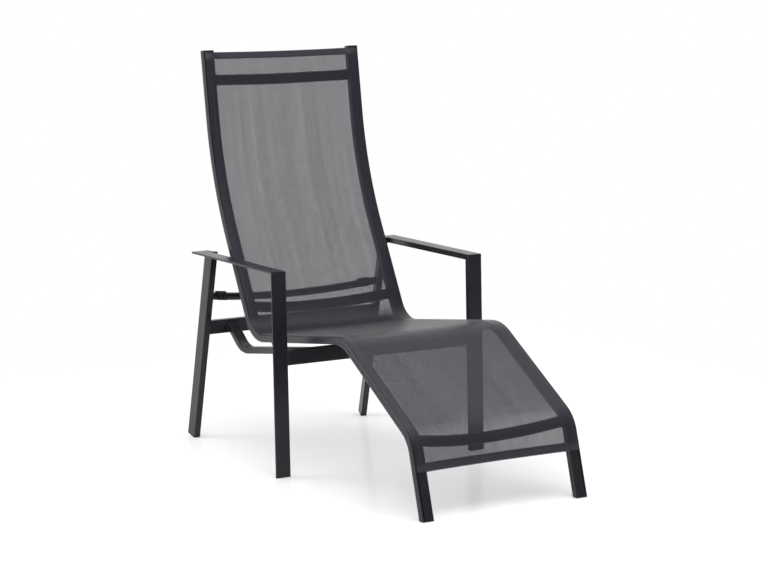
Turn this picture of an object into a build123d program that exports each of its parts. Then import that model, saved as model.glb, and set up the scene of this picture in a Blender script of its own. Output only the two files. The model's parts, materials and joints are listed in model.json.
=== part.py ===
from build123d import *
import os
from math import cos, radians, sin, sqrt, tan

# Tilting garden lounger: a four-legged armrest stand carries an S-shaped sling frame on two pivots.
# Millimetres and degrees. The chair faces -Y, Z is up, left (+X) and right (-X) are the sitter's.

# Stand: armrests and front legs are one wing-shaped extrusion, mitred at the corner.
half_width = 338.0
arm_height = 560.0
arm_front_y = 17.4
arm_rear_y = 481.4
front_leg_lean = 2.1
wing_width = 44.5
wing_inner_depth = 16.5
wing_outer_depth = 5.0
wing_wall = 1.8
wing_corner = 1.8
wing_chamber_share = 0.78

# Stand: rear legs and the bars between them.
rear_leg_width = 20.0
rear_leg_back_width = 5.0
rear_leg_depth = 42.0
rear_leg_corner = 1.8
rear_leg_chamber_share = 0.78
rear_leg_lean = 12.45
rear_leg_foot_y = 566.1
rear_foot_land = 1.2
tube_wall = 1.8
bar_corner = 2.5
lower_bar_rise = 24.0
lower_bar_height = 39.5
lower_bar_depth = 20.0
upper_bar_rise = 118.0
upper_bar_radius = 11.0
upper_bar_bow = 20.5
upper_bar_bow_dip = 53.0
front_bar_height = 42.0
front_bar_depth = 16.5
front_bar_inset = 1.9
front_bar_drop = 8.5

# Stand: bent support tubes under the seat, which carry the pivots.
pivot_y = 192.4
pivot_height = 307.5
support_width = 32.0
support_depth = 19.0
support_corner = 4.0
support_slope_angle = 8.7
support_descent_angle = 38.0
support_bend = 80.0
support_entry_rise = 2.0

# Sling frame: two bent rails, measured along their centre line from the seat corner.
rail_side_clearance = 18.0
seat_corner_setback = 88.5
seat_corner_rise = 24.9
seat_length = 491.5
seat_slope_angle = 8.0
footrest_length = 388.0
footrest_slope_angle = 31.2
foot_lean = 16.4
lower_back_length = 481.0
lower_back_lean = 27.9
upper_back_length = 364.5
upper_back_lean = 9.1
shoulder_bend = 1061.0
seat_corner_bend = 86.0
knee_bend = 113.0
ankle_bend = 91.0

# Rail extrusion: a hollow chamber, and a channel that holds the sling's corded edge.
rail_width = 34.0
rail_depth = 19.5
rail_corner = 2.5
rail_wall = 2.0
chamber_corner = 1.0
channel_inset = 5.4
channel_depth = 4.9
channel_radius = 3.4
channel_wall = 1.8
slot_width = 2.4
groove_width = 2.0
groove_depth = 0.8
groove_rise = 2.5

# Sling: one sheet of woven mesh, edge cords in the channels and a flat bar in each end hem.
fabric_thickness = 1.2
fabric_lift = 0.3
cord_radius = 2.4
cord_sleeve_gap = 0.1
sleeve_wall = 0.5
sling_head_gap = 3.0
sling_past_ankle = 86.2
head_hem_length = 14.0
foot_hem_length = 17.5
hem_bar_thickness = 4.0
hem_bar_corner = 1.2
hem_gap = 0.2

# Bowed spreaders that hold the rails apart behind the sling.
spreader_height = 31.0
spreader_thickness = 15.0
spreader_wall = 2.0
spreader_bow = 40.0
spreader_sink = 2.2
head_spreader_from_top = 81.2
back_spreader_rise = 93.3
footrest_spreader_share = 0.54
insert_length = 16.0
insert_gap = 0.3
screw_radius = 3.0
screw_head_radius = 6.0
screw_head_depth = 3.2
screw_bite = 7.0
screw_socket_radius = 2.2
screw_socket_depth = 1.8
screw_gap = 0.2

# Pivots: a plate under each seat rail turns on a shoulder bolt in a flanged bush.
plate_length = 90.0
plate_thickness = 6.0
plate_reach = 6.0
plate_corner = 3.0
plate_nose_radius = 14.0
bolt_radius = 4.0
bolt_running_gap = 0.05
bolt_hole_gap = 0.1
bolt_head_radius = 8.0
bolt_head_height = 5.0
bolt_head_fillet = 1.5
bolt_socket_radius = 2.9
bolt_socket_depth = 2.6
bolt_end = 2.0
bush_wall = 2.0
bush_flange_radius = 10.0
bush_flange = 2.4
bush_seat_gap = 0.05
side_gap = 0.1
washer_radius = 8.5
washer_thickness = 1.5
nut_across = 13.0
nut_height = 7.5

# Rubber pads that stop the reclined rails, and the plastic plugs in every open end.
pad_length = 30.0
pad_thickness = 4.0
pad_open_share = 0.1
pad_seat_gap = 0.1
plug_flange = 3.0
foot_flange = 4.0
plug_depth = 14.0
plug_gap = 0.2
plug_fillet = 1.0

# One length by which a cutting tool or a blank runs past what it cuts.
overrun = 60.0

# Places that follow from the sizes above.
wing_inner_x = half_width - wing_width
rear_inner_x = wing_inner_x - rear_leg_width
rail_outer_x = rear_inner_x - rail_side_clearance
rail_inner_x = rail_outer_x - rail_width
rail_center_x = rail_outer_x - rail_width / 2
plate_inner_x = rail_inner_x - plate_thickness
support_outer_x = plate_inner_x - side_gap - bush_flange
support_x = support_outer_x - support_width / 2
support_inner_x = support_outer_x - support_width
bush_radius = bolt_radius + bolt_running_gap + bush_wall
fabric_face = rail_depth / 2 + fabric_lift + fabric_thickness
hem_lengths = head_hem_length, foot_hem_length
screw_length = rail_width + screw_bite

arm_corner = Vector(0, arm_front_y, arm_height)
front_leg_axis = Vector(0, -sin(radians(front_leg_lean)), -cos(radians(front_leg_lean)))
rear_leg_axis = Vector(0, sin(radians(rear_leg_lean)), -cos(radians(rear_leg_lean)))
pivot = Vector(0, pivot_y, pivot_height)


def on_line(start, end, distance):
    """A point at a distance from start, on the line towards end."""
    return start + (end - start).normalized() * distance


def seen_from_side(forward, up):
    """A direction in the side view, with forward towards -Y."""
    return Vector(0, -forward, up)


def sloped(slope):
    """Unit direction that rises to the front at this slope."""
    return seen_from_side(cos(radians(slope)), sin(radians(slope)))


def leaning(lean):
    """Unit direction that rises to the rear, at this lean from the vertical."""
    return seen_from_side(-sin(radians(lean)), cos(radians(lean)))


def section_plane(path):
    """Plane across a path's start, with its Y axis on the sitter's side of the frame."""
    return Plane(origin=path @ 0, x_dir=(1, 0, 0), z_dir=path % 0)


def cross_pin(radius, length):
    """A round bar along +X that starts at the origin."""
    return extrude(Plane.YZ * Circle(radius), amount=length)


def across(outline, half_length):
    """A bar along X, centred, from an outline drawn in Y and Z."""
    return extrude(Plane.YZ * outline, amount=half_length, both=True)


def below(height):
    """Everything under a level plane, as a cutting block."""
    tall = arm_height
    return Pos(0, pivot_y, height - tall / 2) * Box(4 * half_width, 4 * arm_height, tall)


def between(front_y, rear_y):
    """The slab of space between two upright planes across the chair."""
    return Pos(0, (front_y + rear_y) / 2, 0) * Box(4 * half_width, rear_y - front_y, 4 * arm_height)


# Stand

def tapered_outline(width, thick, thin, corner, skin, chamber_share):
    """Tapered section: X from the thick edge, Y from the flat face to minus the depth, kept skin inside."""
    slope = (thick - thin) / width
    end = width * chamber_share if skin else width
    points = [(skin, -skin), (end, -skin), (end, slope * end + skin - thick), (skin, slope * skin + skin - thick)]
    outline = make_face(Polyline(*points, close=True))
    return fillet(outline.vertices(), radius=corner / 2 if skin else corner)


def section_place(origin, across_direction, direction, depth_direction):
    """Plane for a tapered section, whose depth runs in depth_direction."""
    plane = Plane(origin=origin, x_dir=across_direction, z_dir=direction)
    turned = plane.y_dir.dot(depth_direction) > 0
    return Plane(origin=origin, x_dir=across_direction, z_dir=direction * -1) if turned else plane


def wing_outline(skin=0):
    return tapered_outline(wing_width, wing_inner_depth, wing_outer_depth, wing_corner, skin, wing_chamber_share)


def wing_section():
    return wing_outline() - wing_outline(wing_wall)


def mitre_plane():
    """Plane that halves the corner between armrest and front leg, facing the armrest."""
    return Plane(origin=arm_corner, z_dir=Vector(0, 1, 0) - front_leg_axis)


def wing_bar(origin, direction, depth_direction, length, outline):
    """Wing extrusion at the left side that runs from origin along a direction."""
    plane = section_place(origin + Vector(wing_inner_x, 0, 0), Vector(1, 0, 0), direction, depth_direction)
    return extrude(plane * outline, amount=length, dir=direction)


def front_leg_depth_direction():
    return Vector(0, cos(radians(front_leg_lean)), -sin(radians(front_leg_lean)))


def armrest():
    start = arm_corner - Vector(0, overrun, 0)
    length = arm_rear_y - plug_flange - arm_front_y + overrun
    bar = wing_bar(start, Vector(0, 1, 0), Vector(0, 0, -1), length, wing_section())
    return split(bar, bisect_by=mitre_plane(), keep=Keep.TOP)


def armrest_end_cap():
    end = Vector(0, arm_rear_y - plug_flange, arm_height)
    rearward, down = Vector(0, 1, 0), Vector(0, 0, -1)
    flange = wing_bar(end, rearward, down, plug_flange, wing_outline())
    rim = flange.faces().sort_by(Axis.Y)[-1].edges()
    flange = fillet(rim, radius=plug_fillet)
    core = wing_outline(wing_wall + plug_gap)
    inside = wing_bar(end - rearward * plug_depth, rearward, down, plug_depth, core)
    return flange + inside


def front_leg_blank(outline):
    start = arm_corner - front_leg_axis * overrun
    depth = front_leg_depth_direction()
    return wing_bar(start, front_leg_axis, depth, arm_height + 2 * overrun, outline)


def front_leg():
    leg = split(front_leg_blank(wing_section()), bisect_by=mitre_plane(), keep=Keep.BOTTOM)
    return leg - below(foot_flange)


def front_foot_plug():
    flange = front_leg_blank(wing_outline()) & (below(foot_flange) - below(0))
    flange = fillet(flange.faces().sort_by(Axis.Z)[0].edges(), radius=plug_fillet)
    inside = front_leg_blank(wing_outline(wing_wall + plug_gap))
    inside = inside & (below(foot_flange + plug_depth) - below(foot_flange))
    return flange + inside


def rear_leg_outline(skin=0):
    """Rear leg section: flat outer face, and an inner face drawn in to a thin rear edge."""
    widths = rear_leg_width, rear_leg_back_width
    return tapered_outline(rear_leg_depth, *widths, rear_leg_corner, skin, rear_leg_chamber_share)


def rear_leg_blank(outline, start, length):
    """Length of rear leg outline, from a distance up the left leg."""
    up = rear_leg_axis * -1
    back = Vector(0, cos(radians(rear_leg_lean)), sin(radians(rear_leg_lean)))
    origin = Vector(wing_inner_x, rear_leg_foot_y, 0) + up * (start - rear_foot_land)
    plane = section_place(origin, back, up, Vector(-1, 0, 0))
    return extrude(plane * outline, amount=length, dir=up)


def rear_leg():
    section = rear_leg_outline() - rear_leg_outline(tube_wall)
    return rear_leg_blank(section, foot_flange, arm_height + overrun) & below(arm_height - plug_flange)


def rear_foot_plug():
    flange = rear_leg_blank(rear_leg_outline(), 0, foot_flange)
    end_face = flange.faces().sort_by(Axis((0, 0, 0), rear_leg_axis))[-1]
    flange = fillet(end_face.edges(), radius=plug_fillet)
    inside = rear_leg_blank(rear_leg_outline(tube_wall + plug_gap), foot_flange, plug_depth)
    return flange + inside - below(0)


def rear_top_plug():
    flange = rear_leg_blank(rear_leg_outline(), 0, arm_height + overrun)
    flange = flange & (below(arm_height) - below(arm_height - plug_flange))
    flange = fillet(flange.faces().sort_by(Axis.Z)[-1].edges(), radius=plug_fillet)
    inside = rear_leg_blank(rear_leg_outline(tube_wall + plug_gap), 0, arm_height + overrun)
    inside = inside & (below(arm_height - plug_flange) - below(arm_height - plug_flange - plug_depth))
    return flange + inside


def between_rear_legs(bar):
    """A bar across the stand, with its ends cut to the legs' inner faces."""
    leg = rear_leg_blank(rear_leg_outline(), 0, arm_height + overrun)
    return bar - leg - other_side(leg)


def rear_leg_center_y(height):
    """Middle of the rear leg's depth, at a height."""
    middle = rear_leg_depth / 2 / cos(radians(rear_leg_lean))
    return rear_leg_foot_y + middle - height * tan(radians(rear_leg_lean))


def box_tube(height, depth, center_y, center_z, half_length):
    """Rectangular tube along X."""
    outer = RectangleRounded(depth, height, bar_corner)
    inner = RectangleRounded(depth - 2 * tube_wall, height - 2 * tube_wall, bar_corner / 2)
    return across(Pos(center_y, center_z) * (outer - inner), half_length)


lower_bar_z = pivot_height + lower_bar_rise
lower_bar_y = rear_leg_center_y(lower_bar_z)
lower_bar_face_y = lower_bar_y - lower_bar_depth / 2
upper_bar_z = pivot_height + upper_bar_rise
upper_bar_y = rear_leg_center_y(upper_bar_z)
leg_face_y = arm_front_y - (arm_height - pivot_height) * tan(radians(front_leg_lean))
front_bar_y = leg_face_y + front_bar_inset + front_bar_depth / 2
front_bar_back_y = front_bar_y + front_bar_depth / 2
support_front_z = pivot_height + (pivot_y - front_bar_back_y) * tan(radians(support_slope_angle))
front_bar_z = support_front_z - front_bar_drop


def lower_rear_bar():
    bar = box_tube(lower_bar_height, lower_bar_depth, lower_bar_y, lower_bar_z, wing_inner_x)
    return between_rear_legs(bar)


def support_points():
    """Centre line of a support tube: front bar, lowest corner, lower rear bar."""
    front = Vector(0, front_bar_back_y, support_front_z)
    rear = Vector(0, lower_bar_face_y, lower_bar_z + support_entry_rise)
    climb, fall = tan(radians(support_slope_angle)), tan(radians(support_descent_angle))
    run = (front.Z - rear.Z + fall * (rear.Y - front.Y)) / (climb + fall)
    low = Vector(0, front.Y + run, front.Z - climb * run)
    return front, low, rear


def support_tube():
    front, low, rear = support_points()
    ends = on_line(front, low, -overrun), on_line(rear, low, -overrun)
    path = FilletPolyline(ends[0], low, ends[1], radius=support_bend)
    outer = RectangleRounded(support_width, support_depth, support_corner)
    inner_size = support_width - 2 * tube_wall, support_depth - 2 * tube_wall
    section = outer - RectangleRounded(*inner_size, support_corner / 2)
    tube = sweep(section_plane(path) * Pos(support_x, 0) * section, path=path)
    tube = tube & between(front_bar_back_y, lower_bar_face_y)
    bush_hole = cross_pin(bush_radius + bush_seat_gap, overrun)
    return tube - Pos(support_x - overrun / 2, pivot_y, pivot_height) * bush_hole


def bowed_arc(half_span, bow, past):
    """Arc in XY that sags to -Y by bow between its two ends, and runs on past them."""
    radius = (half_span ** 2 + bow ** 2) / (2 * bow)
    reach = half_span + past
    rise = radius - bow - sqrt(radius ** 2 - reach ** 2)
    return ThreePointArc((-reach, rise), (0, -bow), (reach, rise))


def bowed_bar(half_span, bow, outline, past=0):
    """Bar swept along a bowed arc, with its ends cut flat at a distance past the span."""
    path = bowed_arc(half_span, bow, past + rail_width / 2)
    plane = Plane(origin=path @ 0, x_dir=(0, 0, 1), z_dir=path % 0)
    bar = sweep(plane * outline, path=path)
    return bar & Box(2 * (half_span + past), 4 * half_span, 4 * half_span)


def upper_bar_plane():
    """Plane of the upper bar's bow, with its Y axis up and forward to the reclined back."""
    facing = seen_from_side(cos(radians(upper_bar_bow_dip)), sin(radians(upper_bar_bow_dip)))
    along_bar = Vector(1, 0, 0)
    return Plane(origin=(0, upper_bar_y, upper_bar_z), x_dir=along_bar, z_dir=along_bar.cross(facing))


def upper_rear_bar():
    ring = Circle(upper_bar_radius) - Circle(upper_bar_radius - tube_wall)
    bar = bowed_bar(rear_inner_x, upper_bar_bow, ring, rear_leg_width)
    return between_rear_legs(upper_bar_plane() * bar)


def stop_pad():
    ring = Circle(upper_bar_radius + pad_seat_gap + pad_thickness) - Circle(upper_bar_radius + pad_seat_gap)
    gap = 2 * (upper_bar_radius + pad_thickness)
    opening = Pos(0, gap / 2 + upper_bar_radius * pad_open_share) * Rectangle(2 * gap, gap)
    sleeve = bowed_bar(rear_inner_x, upper_bar_bow, ring - opening)
    window = Pos(rail_center_x, 0, 0) * Box(pad_length, 4 * gap, 4 * gap)
    return upper_bar_plane() * (sleeve & window)


def pivot_bush():
    sleeve = cross_pin(bush_radius, support_width)
    flange = Pos(support_width, 0, 0) * cross_pin(bush_flange_radius, bush_flange)
    bore = cross_pin(bolt_radius + bolt_running_gap, support_width + bush_flange)
    return Pos(support_inner_x, pivot_y, pivot_height) * (sleeve + flange - bore)


# Sling frame

def frame_points():
    """Corners of the rail's centre line, from the head to the floor."""
    seat_corner = pivot + Vector(0, seat_corner_setback, seat_corner_rise)
    shoulder = seat_corner + leaning(lower_back_lean) * lower_back_length
    head = shoulder + leaning(upper_back_lean) * upper_back_length
    knee = seat_corner + sloped(seat_slope_angle) * seat_length
    ankle = knee + sloped(-footrest_slope_angle) * footrest_length
    foot = Vector(0, ankle.Y - ankle.Z * tan(radians(foot_lean)), 0)
    return head, shoulder, seat_corner, knee, ankle, foot


def frame_path(head_trim=0, foot_trim=0):
    """Centre line of the S-shaped frame, shortened at its ends."""
    points = list(frame_points())
    points[0] = on_line(points[0], points[1], head_trim)
    points[-1] = on_line(points[-1], points[-2], foot_trim)
    return FilletPolyline(*points, radius=[shoulder_bend, seat_corner_bend, knee_bend, ankle_bend])


def rail_outline():
    return RectangleRounded(rail_width, rail_depth, rail_corner)


def channel_place():
    return Pos(rail_width / 2 - channel_inset, rail_depth / 2 - channel_depth)


def chamber_outline(gap=0):
    """The rail's hollow, cut round by the wall of the cord channel."""
    size = rail_width - 2 * rail_wall - 2 * gap, rail_depth - 2 * rail_wall - 2 * gap
    channel_block = channel_place() * Circle(channel_radius + channel_wall + gap)
    return RectangleRounded(*size, chamber_corner) - channel_block


def rail_section():
    slot_place = Pos(rail_width / 2 - channel_inset, rail_depth / 2)
    slot = slot_place * Rectangle(slot_width, 2 * channel_depth)
    groove = Pos(rail_width / 2, groove_rise) * Rectangle(2 * groove_depth, groove_width)
    return rail_outline() - chamber_outline() - channel_place() * Circle(channel_radius) - slot - groove


def spreader_planes():
    """Planes of the head, back and footrest spreaders, on the rail's centre line."""
    head, shoulder, seat_corner, *_ = frame_points()
    ankle_arc = frame_path().edges()[-2]
    places = [
        (on_line(head, shoulder, head_spreader_from_top), shoulder - head),
        (on_line(seat_corner, shoulder, back_spreader_rise), seat_corner - shoulder),
        (ankle_arc @ footrest_spreader_share, ankle_arc % footrest_spreader_share),
    ]
    return [Plane(origin=place, x_dir=(1, 0, 0), z_dir=direction) for place, direction in places]


def at_spreaders(piece):
    """The same piece at each of the three spreaders, sunk from the sling."""
    return [plane * Pos(0, -spreader_sink, 0) * piece for plane in spreader_planes()]


def screw_blank(gap=0):
    """Countersunk screw along -X from the left rail's outer face."""
    head = Cone(screw_radius + gap, screw_head_radius + gap, screw_head_depth)
    head = Pos(rail_outer_x - screw_head_depth / 2, 0, 0) * Rot(0, 90, 0) * head
    shank = Pos(rail_outer_x - screw_length, 0, 0) * cross_pin(screw_radius + gap, screw_length)
    return head + shank


def spreader_screw():
    socket = Plane.YZ * RegularPolygon(screw_socket_radius, 6)
    socket = extrude(socket, amount=screw_socket_depth)
    return screw_blank() - Pos(rail_outer_x - screw_socket_depth, 0, 0) * socket


def side_rail():
    path = frame_path(foot_trim=-overrun)
    rail = sweep(section_plane(path) * Pos(rail_center_x, 0) * rail_section(), path=path)
    return rail - below(foot_flange) - at_spreaders(screw_blank(screw_gap))


def rail_head_cap():
    plane = section_plane(frame_path())
    flange = extrude(Pos(rail_center_x, 0) * rail_outline(), amount=-plug_flange)
    flange = fillet(flange.faces().sort_by(Axis.Z)[0].edges(), radius=plug_fillet)
    inside = extrude(Pos(rail_center_x, 0) * chamber_outline(plug_gap), amount=plug_depth)
    return plane * (flange + inside)


def leg_end_blank(outline):
    """Straight length of rail outline along the leg, through the floor."""
    *_, ankle, foot = frame_points()
    plane = Plane(origin=foot, x_dir=(1, 0, 0), z_dir=foot - ankle)
    return extrude(plane * Pos(rail_center_x, 0) * outline, amount=overrun, both=True)


def rail_foot_cap():
    flange = leg_end_blank(rail_outline()) & (below(foot_flange) - below(0))
    flange = fillet(flange.faces().sort_by(Axis.Z)[0].edges(), radius=plug_fillet)
    inside = leg_end_blank(chamber_outline(plug_gap))
    inside = inside & (below(foot_flange + plug_depth) - below(foot_flange))
    return flange + inside


def slot_outline(skin):
    return SlotOverall(spreader_height - 2 * skin, spreader_thickness - 2 * skin)


def spreader():
    return bowed_bar(rail_inner_x, spreader_bow, slot_outline(0) - slot_outline(spreader_wall))


def spreader_insert():
    """Threaded block in the left end of a spreader."""
    block = bowed_bar(rail_inner_x, spreader_bow, slot_outline(spreader_wall + insert_gap))
    window = Box(insert_length, spreader_height, spreader_height)
    block = block & Pos(rail_inner_x - insert_length / 2, 0, 0) * window
    return block - screw_blank(bolt_running_gap)


def edge_places():
    """Where the two cord channels cross the sling's section."""
    x = rail_center_x + rail_width / 2 - channel_inset
    y = rail_depth / 2 - channel_depth
    return [Pos(side * x, y) for side in (1, -1)]


def sling_section():
    """Flat sheet over both rails, with a neck and a cord sleeve in each channel."""
    edge_x = rail_center_x + rail_width / 2 - channel_inset
    sheet = Rectangle(2 * edge_x + fabric_thickness, fabric_thickness)
    section = Pos(0, fabric_face - fabric_thickness / 2) * sheet
    sleeve_inner = cord_radius + cord_sleeve_gap
    neck_height = fabric_face - (rail_depth / 2 - channel_depth)
    for place in edge_places():
        section += place * Pos(0, neck_height / 2) * Rectangle(fabric_thickness, neck_height)
        section += place * Circle(sleeve_inner + sleeve_wall)
    for place in edge_places():
        section -= place * Circle(sleeve_inner)
    return section


def sling_path():
    *_, ankle, foot = frame_points()
    return frame_path(sling_head_gap, (foot - ankle).length - sling_past_ankle)


def hem_planes():
    """Planes at the sling's two end edges, Y to the sitter and Z into the sheet."""
    path = sling_path()
    head = Plane(origin=path @ 0, x_dir=(1, 0, 0), z_dir=path % 0)
    foot = Plane(origin=path @ 1, x_dir=(-1, 0, 0), z_dir=(path % 1) * -1)
    return head, foot


def hem_bar(hem_length):
    outline = RectangleRounded(hem_bar_thickness, hem_length - 2 * fabric_thickness - 2 * hem_gap, hem_bar_corner)
    middle_y = fabric_face - fabric_thickness - hem_gap - hem_bar_thickness / 2
    return across(Pos(middle_y, hem_length / 2) * outline, rail_inner_x - fabric_lift)


def hem_pocket(hem_length):
    """Fabric loop that closes round a hem bar."""
    inner_depth = hem_bar_thickness + 2 * hem_gap
    inner = RectangleRounded(inner_depth, hem_length - 2 * fabric_thickness, hem_bar_corner)
    outer = RectangleRounded(inner_depth + 2 * fabric_thickness, hem_length, hem_bar_corner)
    middle_y = fabric_face - fabric_thickness - inner_depth / 2
    return across(Pos(middle_y, hem_length / 2) * (outer - inner), rail_inner_x - fabric_lift)


def sling():
    path = sling_path()
    sheet = sweep(section_plane(path) * sling_section(), path=path)
    return sheet + [plane * hem_pocket(length) for plane, length in zip(hem_planes(), hem_lengths)]


def edge_cord():
    path = sling_path()
    return sweep(section_plane(path) * edge_places()[0] * Circle(cord_radius), path=path)


# Pivots

def pivot_plate():
    """Plate on the seat rail's inner face, drawn in to a nose round the pivot bolt."""
    seat_height = seat_corner_rise + seat_corner_setback * tan(radians(seat_slope_angle))
    plate_depth = rail_depth / 2 + plate_reach
    strip = RectangleRounded(plate_length, plate_depth, plate_corner)
    strip = Pos(0, seat_height) * Rot(0, 0, -seat_slope_angle) * Pos(0, plate_reach - plate_depth / 2) * strip
    outline = make_hull(strip.edges() + Circle(plate_nose_radius).edges())
    outline -= Circle(bolt_radius + bolt_hole_gap)
    return Pos(plate_inner_x, pivot_y, pivot_height) * extrude(Plane.YZ * outline, amount=plate_thickness)


def pivot_stack_end():
    """Inner face of the lock nut."""
    return support_inner_x - side_gap - washer_thickness - nut_height


def pivot_bolt():
    shank_start = pivot_stack_end() - bolt_end
    shank = Pos(shank_start, 0, 0) * cross_pin(bolt_radius, rail_inner_x - shank_start)
    head = Pos(rail_inner_x, 0, 0) * cross_pin(bolt_head_radius, bolt_head_height)
    head = fillet(head.edges().sort_by(Axis.X)[-1], radius=bolt_head_fillet)
    socket = extrude(Plane.YZ * RegularPolygon(bolt_socket_radius, 6), amount=bolt_socket_depth)
    head -= Pos(rail_inner_x + bolt_head_height - bolt_socket_depth, 0, 0) * socket
    return Pos(0, pivot_y, pivot_height) * (shank + head)


def pivot_washer():
    ring = cross_pin(washer_radius, washer_thickness)
    ring -= cross_pin(bolt_radius + bolt_hole_gap, washer_thickness)
    return Pos(support_inner_x - side_gap - washer_thickness, pivot_y, pivot_height) * ring


def pivot_nut():
    outline = RegularPolygon(nut_across / 2, 6, major_radius=False) - Circle(bolt_radius + bolt_running_gap)
    return Pos(pivot_stack_end(), pivot_y, pivot_height) * extrude(Plane.YZ * outline, amount=nut_height)


def other_side(piece):
    return mirror(piece, about=Plane.YZ)


def both_sides(pieces):
    """The pieces and their mirror images, as one group of separate solids."""
    return Compound(children=list(pieces) + [other_side(piece) for piece in pieces])


def build_nodes():
    """Every sub-part by its node name."""
    nodes = {
        "front_crossbar": box_tube(front_bar_height, front_bar_depth, front_bar_y, front_bar_z, wing_inner_x),
        "lower_rear_crossbar": lower_rear_bar(),
        "upper_rear_crossbar": upper_rear_bar(),
        "sling": sling(),
        "pivot_bolts": both_sides([pivot_bolt()]),
        "pivot_washers": both_sides([pivot_washer()]),
        "pivot_lock_nuts": both_sides([pivot_nut()]),
        "spreader_screws": both_sides(at_spreaders(spreader_screw())),
        "spreader_inserts": both_sides(at_spreaders(spreader_insert())),
    }
    for name, piece in zip(("head_spreader", "back_spreader", "footrest_spreader"), at_spreaders(spreader())):
        nodes[name] = piece
    for name, plane, length in zip(("head_hem_bar", "foot_hem_bar"), hem_planes(), hem_lengths):
        nodes[name] = plane * hem_bar(length)
    paired = {
        "armrest": armrest(),
        "armrest_end_cap": armrest_end_cap(),
        "front_leg": front_leg(),
        "front_foot_plug": front_foot_plug(),
        "rear_leg": rear_leg(),
        "rear_foot_plug": rear_foot_plug(),
        "rear_leg_top_plug": rear_top_plug(),
        "support_tube": support_tube(),
        "pivot_bush": pivot_bush(),
        "stop_pad": stop_pad(),
        "side_rail": side_rail(),
        "rail_head_cap": rail_head_cap(),
        "rail_foot_cap": rail_foot_cap(),
        "edge_cord": edge_cord(),
        "pivot_plate": pivot_plate(),
    }
    for name, piece in paired.items():
        nodes["left_" + name] = piece
        nodes["right_" + name] = other_side(piece)
    return nodes


os.makedirs("parts", exist_ok=True)
for node_name, solid in build_nodes().items():
    export_step(solid, os.path.join("parts", node_name + ".step"))
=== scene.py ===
"""Looks of a tilting garden lounger: coated tube frame, woven mesh sling, sewn hems and weld beads."""
import json
import logging
import math
from dataclasses import dataclass, field
from enum import Enum
from typing import Sequence

import bpy
from mathutils import Matrix, Vector


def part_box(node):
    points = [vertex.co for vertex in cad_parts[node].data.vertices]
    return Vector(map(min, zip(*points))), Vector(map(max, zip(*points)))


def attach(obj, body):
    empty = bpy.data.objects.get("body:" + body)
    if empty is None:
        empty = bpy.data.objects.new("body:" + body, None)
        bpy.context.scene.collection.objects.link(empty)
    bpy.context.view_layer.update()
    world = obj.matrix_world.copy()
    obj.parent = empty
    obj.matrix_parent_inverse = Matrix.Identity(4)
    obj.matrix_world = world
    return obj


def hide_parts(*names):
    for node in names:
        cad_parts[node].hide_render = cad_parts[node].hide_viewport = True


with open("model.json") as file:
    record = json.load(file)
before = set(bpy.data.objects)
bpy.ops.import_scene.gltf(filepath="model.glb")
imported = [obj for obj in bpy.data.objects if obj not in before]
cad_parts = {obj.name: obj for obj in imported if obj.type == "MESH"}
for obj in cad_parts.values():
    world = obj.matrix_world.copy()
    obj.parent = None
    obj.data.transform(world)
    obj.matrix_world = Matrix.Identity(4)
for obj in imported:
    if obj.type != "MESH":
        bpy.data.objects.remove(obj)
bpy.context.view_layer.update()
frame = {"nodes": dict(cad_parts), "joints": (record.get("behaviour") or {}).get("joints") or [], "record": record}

log = logging.getLogger("garden_lounger")

MM = 0.001
WEAVE_UV = "weave"
Colour = tuple[float, float, float, float]
Place = tuple[float, float, float]
Point = Vector
WHITE: Colour = (1.0, 1.0, 1.0, 1.0)


def linear(hex_colour: str) -> Colour:
    """Turn an sRGB hex colour into Blender's linear colour, by the sRGB standard's own curve.

    Args:
        hex_colour: A colour such as "#1d1f24".

    Returns:
        Linear red, green, blue and an alpha of one.
    """
    channels = [int(hex_colour[i:i + 2], 16) / 255 for i in (1, 3, 5)]
    values = [c / 12.92 if c <= 0.04045 else ((c + 0.055) / 1.055) ** 2.4 for c in channels]
    return (*values, 1.0)


def add_node(tree: bpy.types.NodeTree, kind: str, settings: dict[str, object] | None = None,
             inputs: dict[int | str, object] | None = None) -> bpy.types.Node:
    """Add a shader node with its settings and its inputs.

    Args:
        tree: The node tree that gets the node.
        kind: The node's type, such as "ShaderNodeMath".
        settings: Attributes of the node.
        inputs: Socket name or index to a constant, or to the output socket that feeds it.

    Returns:
        The new node.
    """
    node = tree.nodes.new(kind)
    for name, value in (settings or {}).items():
        setattr(node, name, value)
    for name, value in (inputs or {}).items():
        if isinstance(value, bpy.types.NodeSocket):
            tree.links.new(value, node.inputs[name])
        else:
            node.inputs[name].default_value = value
    return node


def new_material(name: str) -> tuple[bpy.types.Material, bpy.types.NodeTree]:
    """Make an empty material.

    Args:
        name: The finish's name.

    Returns:
        The material and its cleared node tree.
    """
    material = bpy.data.materials.new(name)
    material.use_nodes = True
    material.node_tree.nodes.clear()
    return material, material.node_tree


def finish_surface(tree: bpy.types.NodeTree, shader: bpy.types.Node) -> None:
    """Lead a shader to the material's surface output."""
    add_node(tree, "ShaderNodeOutputMaterial", inputs={"Surface": shader.outputs[0]})


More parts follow.
